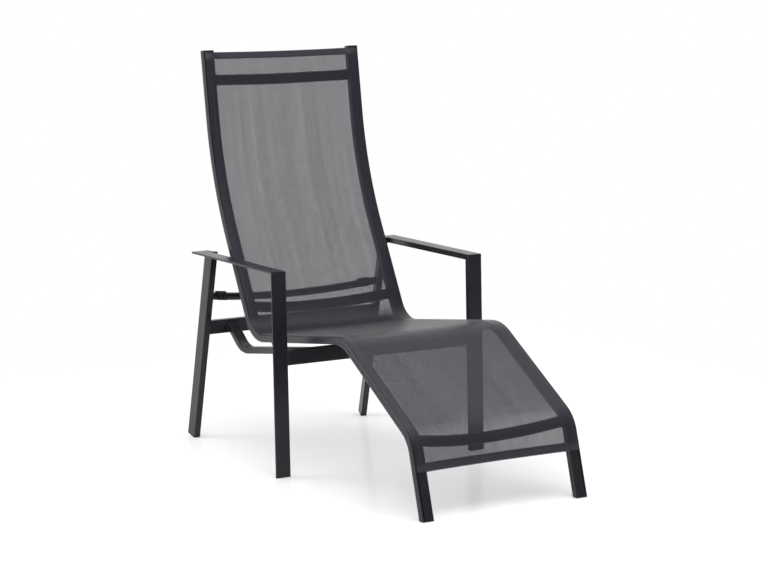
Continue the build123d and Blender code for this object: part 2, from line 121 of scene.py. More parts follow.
@dataclass(frozen=True)
class PowderCoat:
    """Anthracite polyester powder coat baked on aluminium: dark, satin, with a fine orange peel."""

    colour: str = "#14151b"
    worn_colour: str = "#1b1c24"
    roughness: float = 0.32
    roughness_spread: float = 0.08
    peel_mm: float = 1.1
    peel_height_mm: float = 0.012
    cloud_mm: float = 60.0

    def material(self) -> bpy.types.Material:
        """Build the coat's material.

        Returns:
            The new material.
        """
        material, tree = new_material("anthracite_powder_coat")
        place = add_node(tree, "ShaderNodeTexCoord").outputs["Object"]
        peel = add_node(tree, "ShaderNodeTexNoise", inputs={
            "Scale": 1 / (self.peel_mm * MM), "Detail": 1.0, "Vector": place})
        cloud = add_node(tree, "ShaderNodeTexNoise", inputs={
            "Scale": 1 / (self.cloud_mm * MM), "Detail": 3.0, "Vector": place})
        tone = add_node(tree, "ShaderNodeMix", {"data_type": "RGBA"}, {
            "A": linear(self.colour), "B": linear(self.worn_colour), "Factor": cloud.outputs["Fac"]})
        rough = add_node(tree, "ShaderNodeMapRange", inputs={
            "To Min": self.roughness - self.roughness_spread / 2,
            "To Max": self.roughness + self.roughness_spread / 2, "Value": cloud.outputs["Fac"]})
        bump = add_node(tree, "ShaderNodeBump", inputs={
            "Strength": 1.0, "Distance": self.peel_height_mm * MM, "Height": peel.outputs["Fac"]})
        shader = add_node(tree, "ShaderNodeBsdfPrincipled", inputs={
            "Base Color": tone.outputs["Result"], "Roughness": rough.outputs["Result"],
            "Normal": bump.outputs["Normal"]})
        finish_surface(tree, shader)
        return material


@dataclass(frozen=True)
class WovenMesh:
    """PVC-coated polyester yarn in an open plain weave: half see-through square on, closed at a slant.

    The yarns' pitch is the real one, 14 to the inch. A share is a part of half a cell.
    """

    name: str = "charcoal_woven_mesh"
    colour: str = "#37343f"
    # Painted shade: the yarns' flanks and the dips where one yarn passes under another take this darker colour.
    painted_shade_colour: str = "#2b2833"
    roughness: float = 0.33
    sheen: float = 0.35
    sheen_roughness: float = 0.3
    pitch_mm: float = 1.8
    hole_share: float = 0.63
    hole_spread_share: float = 0.08
    edge_share: float = 0.04
    yarn_height_mm: float = 0.06
    streak_mm: float = 16.0
    streak_length_mm: float = 900.0

    def material(self) -> bpy.types.Material:
        """Build the mesh's material, whose weave runs on the sheet's own metre coordinates.

        Returns:
            The new material.
        """
        material, tree = new_material(self.name)
        place = add_node(tree, "ShaderNodeUVMap", {"uv_map": WEAVE_UV}).outputs["UV"]
        ways = add_node(tree, "ShaderNodeSeparateXYZ", inputs={"Vector": place})
        streaks = add_node(tree, "ShaderNodeMapping", {"vector_type": "POINT"}, {
            "Vector": place, "Scale": (1 / (self.streak_mm * MM), 1 / (self.streak_length_mm * MM), 1)})
        streak = add_node(tree, "ShaderNodeTexNoise", inputs={
            "Scale": 1.0, "Detail": 2.0, "Vector": streaks.outputs["Vector"]})
        hole = add_node(tree, "ShaderNodeMapRange", inputs={
            "To Min": self.hole_share - self.hole_spread_share,
            "To Max": self.hole_share + self.hole_spread_share, "Value": streak.outputs["Fac"]})
        made = {"across": ways.outputs["X"], "along": ways.outputs["Y"], "hole": hole.outputs["Result"]}
        for result, operation, *sources in self._weave_steps():
            made[result] = add_node(tree, "ShaderNodeMath", {"operation": operation}, {
                i: made.get(source, source) for i, source in enumerate(sources)}).outputs[0]
        bump = add_node(tree, "ShaderNodeBump", inputs={
            "Strength": 1.0, "Distance": self.yarn_height_mm * MM, "Height": made["height"]})
        # Painted shade: the tone darkens from each yarn's crown to its flanks and dips, following the weave's
        # height.
        tone = add_node(tree, "ShaderNodeMix", {"data_type": "RGBA"}, {
            "A": linear(self.painted_shade_colour), "B": linear(self.colour), "Factor": made["height"]})
        shader = add_node(tree, "ShaderNodeBsdfPrincipled", inputs={
            "Roughness": self.roughness, "Sheen Weight": self.sheen, "Sheen Roughness": self.sheen_roughness,
            "Base Color": tone.outputs["Result"], "Alpha": made["cover"], "Normal": bump.outputs["Normal"]})
        finish_surface(tree, shader)
        return material

    def _weave_steps(self) -> list[tuple[str | float, ...]]:
        """List the weave's arithmetic.

        A yarn's share is zero in a hole's middle and one on the yarn's own middle. Its cover is zero in the
        hole and one on the yarn, with a soft rim. Warp and weft take turns on top from crossing to crossing.

        Returns:
            For each step its result, the operation and the results or numbers that it works on.
        """
        steps: list[tuple[str | float, ...]] = [("rim", "SUBTRACT", "hole", self.edge_share)]
        for yarn, way in (("warp", "across"), ("weft", "along")):
            steps += [(f"{yarn} cell", "MULTIPLY", way, 1 / (self.pitch_mm * MM)),
                      (f"{yarn} in cell", "FRACT", f"{yarn} cell"),
                      (f"{yarn} from hole", "SUBTRACT", f"{yarn} in cell", 0.5),
                      (f"{yarn} distance", "ABSOLUTE", f"{yarn} from hole"),
                      (f"{yarn} share", "MULTIPLY", f"{yarn} distance", 2.0),
                      (f"{yarn} past rim", "SUBTRACT", f"{yarn} share", "rim"),
                      (f"{yarn} rise", "DIVIDE", f"{yarn} past rim", 2 * self.edge_share),
                      (f"{yarn} above hole", "MAXIMUM", f"{yarn} rise", 0.0),
                      (f"{yarn} cover", "MINIMUM", f"{yarn} above hole", 1.0),
                      (f"{yarn} middle", "ADD", f"{yarn} cell", 0.5),
                      (f"{yarn} number", "FLOOR", f"{yarn} middle"),
                      (f"{yarn} crown", "POWER", f"{yarn} share", 2.0)]
        return steps + [("cover", "MAXIMUM", "warp cover", "weft cover"),
                        ("crossing", "ADD", "warp number", "weft number"),
                        ("turn", "PINGPONG", "crossing", 1.0),
                        ("half turn", "MULTIPLY", "turn", 0.5),
                        ("warp level", "ADD", "half turn", 0.5),
                        ("weft level", "SUBTRACT", 1.0, "half turn"),
                        ("warp height", "MULTIPLY", "warp crown", "warp level"),
                        ("weft height", "MULTIPLY", "weft crown", "weft level"),
                        ("height", "MAXIMUM", "warp height", "weft height")]


@dataclass(frozen=True)
class GrainedSolid:
    """A moulded, turned or rolled solid with an even colour and a fine surface grain.

    The real grain is 0.1 to 0.3 mm wide. It is drawn coarser so that it shows.
    """

    name: str
    colour: str
    tint: str
    roughness: float
    metallic: float = 0.0
    grain_mm: float = 0.8
    grain_height_mm: float = 0.01
    stretch: Place = (1.0, 1.0, 1.0)

    def material(self) -> bpy.types.Material:
        """Build the solid's material.

        Returns:
            The new material.
        """
        material, tree = new_material(self.name)
        place = add_node(tree, "ShaderNodeTexCoord")
        turned = add_node(tree, "ShaderNodeMapping", inputs={
            "Vector": place.outputs["Object"], "Scale": self.stretch})
        grain = add_node(tree, "ShaderNodeTexNoise", inputs={
            "Scale": 1 / (self.grain_mm * MM), "Detail": 2.0, "Vector": turned.outputs["Vector"]})
        tone = add_node(tree, "ShaderNodeMix", {"data_type": "RGBA"}, {
            "A": linear(self.colour), "B": linear(self.tint), "Factor": grain.outputs["Fac"]})
        bump = add_node(tree, "ShaderNodeBump", inputs={
            "Strength": 1.0, "Distance": self.grain_height_mm * MM, "Height": grain.outputs["Fac"]})
        shader = add_node(tree, "ShaderNodeBsdfPrincipled", inputs={
            "Roughness": self.roughness, "Metallic": self.metallic, "Base Color": tone.outputs["Result"],
            "Normal": bump.outputs["Normal"]})
        finish_surface(tree, shader)
        return material


class Finish(Enum):
    """The record's material slots."""

    POWDER_COAT = "powder_coated_frame"
    MESH = "sling_mesh"
    PLUG = "plug_plastic"
    PAD = "pad_rubber"
    BUSH = "bush_nylon"
    CORD = "cord_plastic"
    ALUMINIUM = "bare_aluminium"
    STEEL = "fastener_steel"
    BLACK_STEEL = "black_steel"


def make_finishes() -> dict[Finish, bpy.types.Material]:
    """Build every slot's finish once.

    Returns:
        Finish to its material.
    """
    looks = {
        # Baked powder leaves a satin skin whose faces show the pale room at a slant.
        Finish.POWDER_COAT: PowderCoat(),
        # Woven PVC-coated yarn: charcoal, with a plastic gleam on each crossing and daylight in between.
        # The yarns' flanks and dips are painted darker as shade.
        Finish.MESH: WovenMesh(),
        # Injection-moulded polyethylene: duller and blacker than the coat, with a spark-eroded grain.
        Finish.PLUG: GrainedSolid("moulded_polyethylene", "#141517", "#1b1c1f", 0.62),
        # Extruded EPDM rubber: nearly black and dull.
        Finish.PAD: GrainedSolid("extruded_rubber", "#101112", "#17181a", 0.8),
        # Moulded nylon: milky white and waxy.
        Finish.BUSH: GrainedSolid("moulded_nylon", "#cfcdc4", "#dad8d0", 0.5),
        # Extruded PVC cord: black and smooth.
        Finish.CORD: GrainedSolid("extruded_pvc", "#17181a", "#1d1e21", 0.45),
        # Mill-finish aluminium: pale grey, drawn lengthways.
        Finish.ALUMINIUM: GrainedSolid("mill_aluminium", "#b9bbbe", "#c9cbce", 0.35, metallic=1.0,
                                       grain_mm=0.4, grain_height_mm=0.006, stretch=(0.1, 1.0, 1.0)),
        # Zinc-plated steel: a little blue, turned and rolled.
        Finish.STEEL: GrainedSolid("zinc_plated_steel", "#8d9196", "#a3a7ab", 0.34, metallic=1.0,
                                   grain_mm=0.3, grain_height_mm=0.006),
        # Steel under black zinc: nearly the coat's tone, a little smoother.
        Finish.BLACK_STEEL: GrainedSolid("black_zinc_steel", "#1c1d20", "#26282c", 0.4, grain_mm=0.3,
                                         grain_height_mm=0.006),
    }
    return {finish: look.material() for finish, look in looks.items()}


def build_mesh(name: str, points: Sequence[Point], faces: Sequence[Sequence[int]],
               uvs: Sequence[tuple[float, float]] | None = None) -> bpy.types.Object:
    """Make a smooth-shaded mesh object.

    Args:
        name: The piece's name.
        points: Vertices in metres.
        faces: Vertex indices of each face.
        uvs: One coordinate pair per vertex, in metres along the cloth.

    Returns:
        The linked object.
    """
    data = bpy.data.meshes.new(name)
    data.from_pydata([tuple(p) for p in points], [], faces)
    data.polygons.foreach_set("use_smooth", [True] * len(data.polygons))
    if uvs is not None:
        layer = data.uv_layers.new(name=WEAVE_UV)
        layer.data.foreach_set("uv", [c for loop in data.loops for c in uvs[loop.vertex_index]])
    data.validate()
    piece = bpy.data.objects.new(name, data)
    bpy.context.scene.collection.objects.link(piece)
    return piece


def dress(piece: bpy.types.Object, material: bpy.types.Material) -> None:
    """Give a piece one material.

    Args:
        piece: The object.
        material: Its finish.
    """
    if not piece.material_slots:
        piece.data.materials.append(material)
    for slot in piece.material_slots:
        slot.material = material


@dataclass
class Station:
    """A place on the sling frame's centre line."""

    place: Point
    forward: Point
    distance: float

    @property
    def normal(self) -> Point:
        """Direction from the frame to the sitter, square to the line."""
        return Vector((0.0, self.forward.z, -self.forward.y))


@dataclass
class FrameLine:
    """Centre line of the S-bent rails in the side view, from the head to the floor, in millimetres."""

    seat_corner_setback: float = 88.5
    seat_corner_rise: float = 24.9
    seat_length: float = 491.5
    seat_slope_deg: float = 8.0
    footrest_length: float = 388.0
    footrest_slope_deg: float = 31.2
    foot_lean_deg: float = 16.4
    lower_back_length: float = 481.0
    lower_back_lean_deg: float = 27.9
    upper_back_length: float = 364.5
    upper_back_lean_deg: float = 9.1
    bends: tuple[float, float, float, float] = (1061.0, 86.0, 113.0, 91.0)
    degrees_per_step: float = 3.0
    fewest_steps: int = 3
    straight_step: float = 30.0

    def corners(self) -> list[Point]:
        """Corners of the line: head, shoulder, seat corner, knee, ankle and foot, in metres.

        Returns:
            The six corners.
        """
        def leaning(lean: float) -> Point:
            """Unit direction up and to the rear."""
            return Vector((0, math.sin(math.radians(lean)), math.cos(math.radians(lean))))

        def sloped(slope: float) -> Point:
            """Unit direction to the front, and up by the slope."""
            return Vector((0, -math.cos(math.radians(slope)), math.sin(math.radians(slope))))

        pivot = Vector(frame["joints"][0]["pos_m"])
        seat_corner = pivot + Vector((0, self.seat_corner_setback, self.seat_corner_rise)) * MM
        shoulder = seat_corner + leaning(self.lower_back_lean_deg) * self.lower_back_length * MM
        head = shoulder + leaning(self.upper_back_lean_deg) * self.upper_back_length * MM
        knee = seat_corner + sloped(self.seat_slope_deg) * self.seat_length * MM
        ankle = knee + sloped(-self.footrest_slope_deg) * self.footrest_length * MM
        foot = Vector((0, ankle.y - ankle.z * math.tan(math.radians(self.foot_lean_deg)), 0))
        return [head, shoulder, seat_corner, knee, ankle, foot]

    def stations(self, head_trim: float, past_ankle: float) -> list[Station]:
        """Places along the line, close together in its bends.

        Args:
            head_trim: Metres left off at the head.
            past_ankle: Metres kept past the ankle's corner.

        Returns:
            Stations from the head to the foot.
        """
        corners = self.corners()
        corners[0] = corners[0] + (corners[1] - corners[0]).normalized() * head_trim
        corners[-1] = corners[-2] + (corners[-1] - corners[-2]).normalized() * past_ankle
        places: list[tuple[Point, Point]] = []
        start = corners[0]
        for i, bend in enumerate(self.bends, start=1):
            before = (corners[i] - corners[i - 1]).normalized()
            after = (corners[i + 1] - corners[i]).normalized()
            turn = before.angle(after)
            tangent = bend * MM * math.tan(turn / 2)
            arc_start = corners[i] - before * tangent
            places += self._straight(start, arc_start, before)
            axis = before.cross(after).normalized()
            centre = arc_start + axis.cross(before) * bend * MM
            steps = max(self.fewest_steps, round(math.degrees(turn) / self.degrees_per_step))
            for step in range(steps):
                spin = Matrix.Rotation(turn * step / steps, 3, axis)
                places.append((centre + spin @ (arc_start - centre), spin @ before))
            start = corners[i] + after * tangent
        last = (corners[-1] - corners[-2]).normalized()
        places += self._straight(start, corners[-1], last) + [(corners[-1], last)]
        stations, distance = [], 0.0
        for i, (place, forward) in enumerate(places):
            distance += (place - places[i - 1][0]).length if i else 0.0
            stations.append(Station(place, forward, distance))
        return stations

    def _straight(self, start: Point, end: Point, forward: Point) -> list[tuple[Point, Point]]:
        """Evenly spaced places on a straight run, without its end."""
        count = max(1, math.ceil((end - start).length / (self.straight_step * MM)))
        return [(start.lerp(end, i / count), forward) for i in range(count)]


@dataclass
class Sling:
    """The woven sheet, its two hems and its seams, in millimetres."""

    finishes: dict[Finish, bpy.types.Material]
    core: bpy.types.Material
    folded: bpy.types.Material
    thread: bpy.types.Material
    line: FrameLine = field(default_factory=FrameLine)
    cloth_thickness: float = 0.74
    weft_pitch: float = 1.8
    rail_face: float = 9.75
    lift: float = 0.3
    rail_gap_half: float = 221.5
    slot_x: float = 250.1
    slot_depth: float = 3.6
    edge_fold: float = 1.4
    edge_fold_steps: int = 3
    rail_margin: float = 3.0
    back_sag: float = 3.0
    seat_sag: float = 4.0
    bend_reach: float = 22.0
    end_bow: float = 2.0
    end_reach: float = 250.0
    head_trim: float = 3.0
    past_ankle: float = 86.2
    head_hem_length: float = 14.0
    foot_hem_length: float = 17.5
    hem_depth: float = 5.6
    hem_flap: float = 3.0
    hem_steps: int = 8
    hem_flat_share: float = 0.6
    hem_ply_share: float = 1.1
    hem_yarns: int = 2
    rib_share: float = 0.98
    strip_thickness: float = 4.0
    strip_inset: float = 1.4
    strip_drop: float = 0.5
    strip_corner: float = 1.2
    strip_corner_steps: int = 3
    columns: int = 22
    seam_inset: float = 14.0
    stitch_pitch: float = 4.0
    stitch_length: float = 3.2
    stitch_radius: float = 0.5

    def build(self) -> None:
        """Build the sheet, its hems with the strips in them, and its seams."""
        stations = self.line.stations(self.head_trim * MM, self.past_ankle * MM)
        sheet = self._sheet("sling_sheet", stations)
        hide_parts("sling")
        core = self._core(stations)
        hems = [self._hem("head_hem", stations, True), self._hem("foot_hem", stations, False)]
        stitches = self._stitches(stations)
        pieces = [sheet, core, *hems, stitches]
        looks = [self.finishes[Finish.MESH], self.core, self.folded, self.folded, self.thread]
        for piece, look in zip(pieces, looks):
            dress(piece, look)
            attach(piece, "sling_frame")
            log.info("built %s", piece.name)
        for piece in (sheet, *hems):
            thick = piece.modifiers.new("cloth", "SOLIDIFY")
            thick.thickness, thick.offset = self.cloth_thickness * MM, 0.0
        width = self._profile()[-1][2] - self._profile()[0][2]
        for end, at_head in (("head", True), ("foot", False)):
            outline = self._strip_outline(self._hem_length(at_head))
            bar = self._across_end(f"{end}_hem_strip", stations, at_head, outline, True)
            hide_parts(f"{end}_hem_bar")
            dress(bar, self.finishes[Finish.CORD])
            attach(bar, "sling_frame")
            log.info("built %s", bar.name)

    def _face(self) -> float:
        """Height of the cloth's middle over the rail's centre line."""
        return self.rail_face + self.lift + self.cloth_thickness / 2

    def _hem_length(self, at_head: bool) -> float:
        """Length of the head's or the foot's hem, from its fold."""
        return self.head_hem_length if at_head else self.foot_hem_length

    def _profile(self) -> list[tuple[float, float, float]]:
        """Draw the cloth's section from the right slot to the left one.

        Returns:
            X, height and distance along the cloth of each point, in metres.
        """
        face, fold = self._face(), self.edge_fold
        right = [(-self.slot_x, face - self.slot_depth), (-self.slot_x, face - fold)]
        for step in range(1, self.edge_fold_steps + 1):
            turn = math.radians(90 * step / self.edge_fold_steps)
            right.append((-self.slot_x + fold * (1 - math.cos(turn)), face - fold * (1 - math.sin(turn))))
        right += [(x, face) for x in (-self.slot_x + self.seam_inset, -self.rail_gap_half - self.rail_margin,
                                      -self.rail_gap_half)]
        middle = [(self.rail_gap_half * (2 * column / self.columns - 1), face)
                  for column in range(1, self.columns)]
        section = right + middle + [(-x, y) for x, y in reversed(right)]
        points, distance = [], 0.0
        for i, (x, y) in enumerate(section):
            if i:
                distance += math.hypot(x - section[i - 1][0], y - section[i - 1][1])
            points.append((x * MM, y * MM, distance * MM))
        return points

    def _slack(self, x: float) -> float:
        """Share of the sag at a place between the rails: none at a rail, one in the middle."""
        return max(0.0, 1 - (x / self.rail_gap_half) ** 2)

    def _lifts(self, stations: list[Station]) -> list[float]:
        """Work out how far the cloth's middle stands off the plane of its edges, up to the sitter.

        Its own weight makes it sag, most under the sitter. Its lengthwise tension lifts it out of a hollow
        bend and draws it down at a crest, fading over the bend's reach.

        Args:
            stations: Stations along the frame.

        Returns:
            One offset a station, in metres.
        """
        reach = self.bend_reach * MM
        turns = [0.0]
        for before, here in zip(stations, stations[1:]):
            turns.append(math.asin(max(-1.0, min(1.0, before.forward.cross(here.forward).x))))
        corners = self.line.corners()
        seat_middle = (corners[2] + corners[3]) / 2
        seat_half = (corners[3] - corners[2]).length / 2
        lifts = []
        for here in stations:
            pull = sum(turn * math.exp(-abs(here.distance - there.distance) / reach)
                       for turn, there in zip(turns, stations)) * reach / 2
            seat = max(0.0, 1 - ((here.place - seat_middle).length / seat_half) ** 2)
            lifts.append(-pull - (self.back_sag + (self.seat_sag - self.back_sag) * seat) * MM)
        return lifts

    def _drawn_in(self, x: float, station: Station, total: float) -> float:
        """Work out how far the cloth is drawn in from its ends, where only the rails hold it.

        Args:
            x: Place across the cloth, in metres.
            station: Station along the frame.
            total: The cloth's length, in metres.

        Returns:
            Metres towards the foot, below zero near the foot's end.
        """
        reach = self.end_reach * MM
        head = max(0.0, 1 - station.distance / reach)
        foot = max(0.0, 1 - (total - station.distance) / reach)
        return (head ** 2 - foot ** 2) * self.end_bow * MM * self._slack(x / MM)

    def _sheet(self, name: str, stations: list[Station]) -> bpy.types.Object:
        """Sweep the cloth's section along the rails. Between them its ends stop where the hems' folds begin.

        Args:
            name: The piece's name.
            stations: Stations along the frame.

        Returns:
            The new object.
        """
        profile, total = self._profile(), stations[-1].distance
        tucks = {0: self.hem_depth / 2 * MM, len(stations) - 1: -self.hem_depth / 2 * MM}
        points, uvs, faces = [], [], []
        for row, (station, lift) in enumerate(zip(stations, self._lifts(stations))):
            for x, height, across in profile:
                tuck = tucks.get(row, 0.0) if abs(x) <= self.rail_gap_half * MM else 0.0
                along = station.forward * (self._drawn_in(x, station, total) + tuck)
                rise = station.normal * (height + lift * self._slack(x / MM))
                points.append(station.place + rise + along + Vector((x, 0, 0)))
                uvs.append((across, station.distance + tuck))
        width = len(profile)
        for row in range(len(stations) - 1):
            for column in range(width - 1):
                a = row * width + column
                faces.append((a, a + 1, a + width + 1, a + width))
        return build_mesh(name, points, faces, uvs)

    def _core(self, stations: list[Station]) -> bpy.types.Object:
        """Lay the yarns' core between the cloth's faces: a middle ply, and a thin rib in each weft yarn.

        The ribs stand upright in the cloth, so that it closes when it is seen along its length, as round yarn
        does.

        Args:
            stations: Stations along the frame.

        Returns:
            The ply and the ribs as one object.
        """
        profile = [p for p in self._profile() if abs(p[0]) <= self.rail_gap_half * MM]
        total, half = stations[-1].distance, self.cloth_thickness * MM / 2 * self.rib_share
        lifts = self._lifts(stations)
        plies = self._sheet("sling_core_yarn", stations)
        points = [vertex.co.copy() for vertex in plies.data.vertices]
        uvs = [(0.0, 0.0)] * len(points)
        for loop, place in zip(plies.data.loops, plies.data.uv_layers[0].data):
            uvs[loop.vertex_index] = tuple(place.uv)
        faces = [tuple(face.vertices) for face in plies.data.polygons]
        bpy.data.objects.remove(plies)
        row, width = 0, len(profile)
        yarns = int(total / (self.weft_pitch * MM))
        for rib in range(self.hem_yarns, yarns - self.hem_yarns + 1):
            distance = rib * self.weft_pitch * MM
            while stations[row + 1].distance < distance:
                row += 1
            here, there = stations[row], stations[row + 1]
            share = (distance - here.distance) / (there.distance - here.distance)
            normal = here.normal.lerp(there.normal, share).normalized()
            lift = lifts[row] + (lifts[row + 1] - lifts[row]) * share
            start = len(points)
            for x, height, across in profile:
                drawn = [s.forward * self._drawn_in(x, s, total) + s.place for s in (here, there)]
                middle = drawn[0].lerp(drawn[1], share) + Vector((x, 0, 0))
                for edge in (-half, half):
                    points.append(middle + normal * (height + lift * self._slack(x / MM) + edge))
                    uvs.append((across, distance))
            for column in range(width - 1):
                a = start + 2 * column
                faces.append((a, a + 2, a + 3, a + 1))
        return build_mesh("sling_core_yarn", points, faces, uvs)

    def _hem(self, name: str, stations: list[Station], at_head: bool) -> bpy.types.Object:
        """Fold the cloth's end round its flat strip and back under the sheet, where it is sewn down.

        Args:
            name: The piece's name.
            stations: Stations along the frame.
            at_head: Whether the end is the head's.

        Returns:
            The new object.
        """
        depth, length = self.hem_depth, self._hem_length(at_head)
        ply = self.cloth_thickness * self.hem_ply_share
        fold = []
        for step in range(self.hem_steps + 1):
            turn = math.pi * step / self.hem_steps
            fold.append((depth / 2 * (1 - math.sin(turn)), -depth / 2 * (1 - math.cos(turn))))
        # Behind the strip the cloth rises to the sheet's underside and ends in a flap.
        fold += [(length * self.hem_flat_share, -depth), (length - ply, -depth), (length, -depth + ply),
                 (length + ply, -depth / 2), (length + 2 * ply, -1.5 * ply), (length + 3 * ply, -ply),
                 (length + 3 * ply + self.hem_flap, -ply)]
        return self._across_end(name, stations, at_head, fold, False)

    def _strip_outline(self, length: float) -> list[tuple[float, float]]:
        """Draw the rounded section of a hem's flat strip.

        Args:
            length: Length of the hem, in millimetres.

        Returns:
            Places along the cloth from its end, and down from its middle, in millimetres.
        """
        near, far = self.strip_inset + self.strip_corner, length - self.strip_inset - self.strip_corner
        top = -self.strip_drop - self.strip_corner
        bottom = -self.strip_drop - self.strip_thickness + self.strip_corner
        outline = []
        for i, (along, down) in enumerate(((far, top), (near, top), (near, bottom), (far, bottom))):
            for step in range(self.strip_corner_steps + 1):
                turn = math.radians(90 * i + 90 * step / self.strip_corner_steps)
                outline.append((along + self.strip_corner * math.cos(turn),
                                down + self.strip_corner * math.sin(turn)))
        return outline

    def _across_end(self, name: str, stations: list[Station], at_head: bool,
                    outline: Sequence[tuple[float, float]], closed: bool) -> bpy.types.Object:
        """Sweep an outline from rail to rail along the bowed and sagging end of the cloth.

        Args:
            name: The piece's name.
            stations: Stations along the frame.
            at_head: Whether the end is the head's.
            outline: Places along the cloth from its end, and down from its middle, in millimetres.
            closed: Whether the outline closes on itself.

        Returns:
            The new object.
        """
        end, inner = (0, 1) if at_head else (-1, -2)
        station, total, lifts = stations[end], stations[-1].distance, self._lifts(stations)
        rate = (lifts[inner] - lifts[end]) / abs(stations[inner].distance - station.distance)
        inward = station.forward if at_head else -station.forward
        middle = self._profile()[-1][2] / 2
        points, uvs, faces = [], [], []
        for column in range(2 * self.columns + 1):
            x = (self.rail_gap_half - self.lift) * (column / self.columns - 1)
            bow = abs(self._drawn_in(x * MM, station, total))
            distance = 0.0
            for i, (along, down) in enumerate(outline):
                distance += math.dist(outline[i - 1], outline[i]) * MM if i else 0.0
                lift = (lifts[end] + rate * along * MM) * self._slack(x)
                rise = station.normal * ((self._face() + down) * MM + lift)
                points.append(station.place + inward * (along * MM + bow) + rise + Vector((x * MM, 0, 0)))
                uvs.append((x * MM + middle, -distance))
        rows = len(outline)
        for column in range(2 * self.columns):
            for row in range(rows if closed else rows - 1):
                a, b = column * rows + row, column * rows + (row + 1) % rows
                faces.append((a, b, b + rows, a + rows))
        if closed:
            faces += [tuple(reversed(range(rows))), tuple(range(len(points) - rows, len(points)))]
        return build_mesh(name, points, faces, uvs)

    def _stitches(self, stations: list[Station]) -> bpy.types.Object:
        """Sew a row of lockstitch along each rail and across each hem.

        Args:
            stations: Stations along the frame.

        Returns:
            All the stitches as one object.
        """
        rows: list[list[tuple[Point, Point]]] = []
        lifts = self._lifts(stations)
        over = self._face() + self.cloth_thickness / 2
        for side in (-1, 1):
            x = side * (self.slot_x - self.seam_inset)
            offset = Vector((x * MM, 0, 0))
            rows.append([(s.place + s.normal * over * MM + offset, s.normal) for s in stations])
        for end, inner, length in ((0, 1, self.head_hem_length), (-1, -2, self.foot_hem_length)):
            here, there, total = stations[end], stations[inner], stations[-1].distance
            share = (length + self.hem_flap) * MM / (there.place - here.place).length
            lift = lifts[end] + (lifts[inner] - lifts[end]) * share
            row = []
            for column in range(2 * self.columns + 1):
                x = (self.rail_gap_half - self.stitch_pitch) * (column / self.columns - 1)
                drawn = here.forward * self._drawn_in(x * MM, here, total)
                rise = here.normal * (over * MM + lift * self._slack(x))
                place = here.place.lerp(there.place, share) + drawn + rise + Vector((x * MM, 0, 0))
                row.append((place, here.normal))
            rows.append(row)
        points, faces = [], []
        for row in rows:
            for place, along, up in evenly(row, self.stitch_pitch * MM):
                side = along.cross(up).normalized()
                half, thick = along * self.stitch_length * MM / 2, self.stitch_radius * MM
                start = len(points)
                points += [place - half, place + half]
                points += [place + side * thick, place + up * thick, place - side * thick, place - up * thick]
                for i in range(4):
                    a, b = start + 2 + i, start + 2 + (i + 1) % 4
                    faces += [(start, b, a), (start + 1, a, b)]
        return build_mesh("sling_stitches", points, faces)


def evenly(row: Sequence[tuple[Point, Point]], pitch: float) -> list[tuple[Point, Point, Point]]:
    """Walk along a line of places in equal steps.

    Args:
        row: Places with the direction away from the surface, in order.
        pitch: Step in metres.

    Returns:
        Place, direction along the line and direction away from the surface, for each step.
    """
    steps, left = [], pitch / 2
    for (start, up), (end, _) in zip(row, row[1:]):
        length = (end - start).length
        along = (end - start).normalized()
        while left <= length:
            steps.append((start + along * left, along, up))
            left += pitch
        left -= length
    return steps


def end_outline(node: str, facing: Point, least_facing: float = 0.85, tolerance: float = 0.05) -> list[Point]:
    """Find the outline of a bar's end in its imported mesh.

    Args:
        node: The bar's CAD node.
        facing: Rough direction that the end faces, mostly along X or along Y.
        least_facing: Least cosine between that direction and the end's own.
        tolerance: Greatest distance of a point from the end's plane, in millimetres.

    Returns:
        Points of the closed outline in order, in metres.
    """
    data = frame["nodes"][node].data
    turned_there = [face for face in data.polygons if face.normal.dot(facing) > least_facing]
    best = max(turned_there, key=lambda face: face.center.dot(facing))
    level = best.center.dot(best.normal)
    axis = 0 if abs(facing.x) > abs(facing.y) else 1
    other = 1 - axis
    places = [v.co for v in data.vertices if abs(v.co.dot(best.normal) - level) < tolerance * MM]
    flat = sorted({(round(p[other], 5), round(p.z, 5)) for p in places})
    # The convex hull, half at a time: along its low side and back along its high side.
    hull: list[tuple[float, float]] = []
    for run in (flat, flat[::-1]):
        side: list[tuple[float, float]] = []
        for u, v in run:
            while len(side) > 1 and ((side[-1][0] - side[-2][0]) * (v - side[-2][1])
                                     <= (side[-1][1] - side[-2][1]) * (u - side[-2][0])):
                side.pop()
            side.append((u, v))
        hull += side[:-1]
    outline = []
    for u, v in hull:
        place = Vector((u, u, v))
        place[axis] = (level - u * best.normal[other] - v * best.normal.z) / best.normal[axis]
        outline.append(place)
    return outline


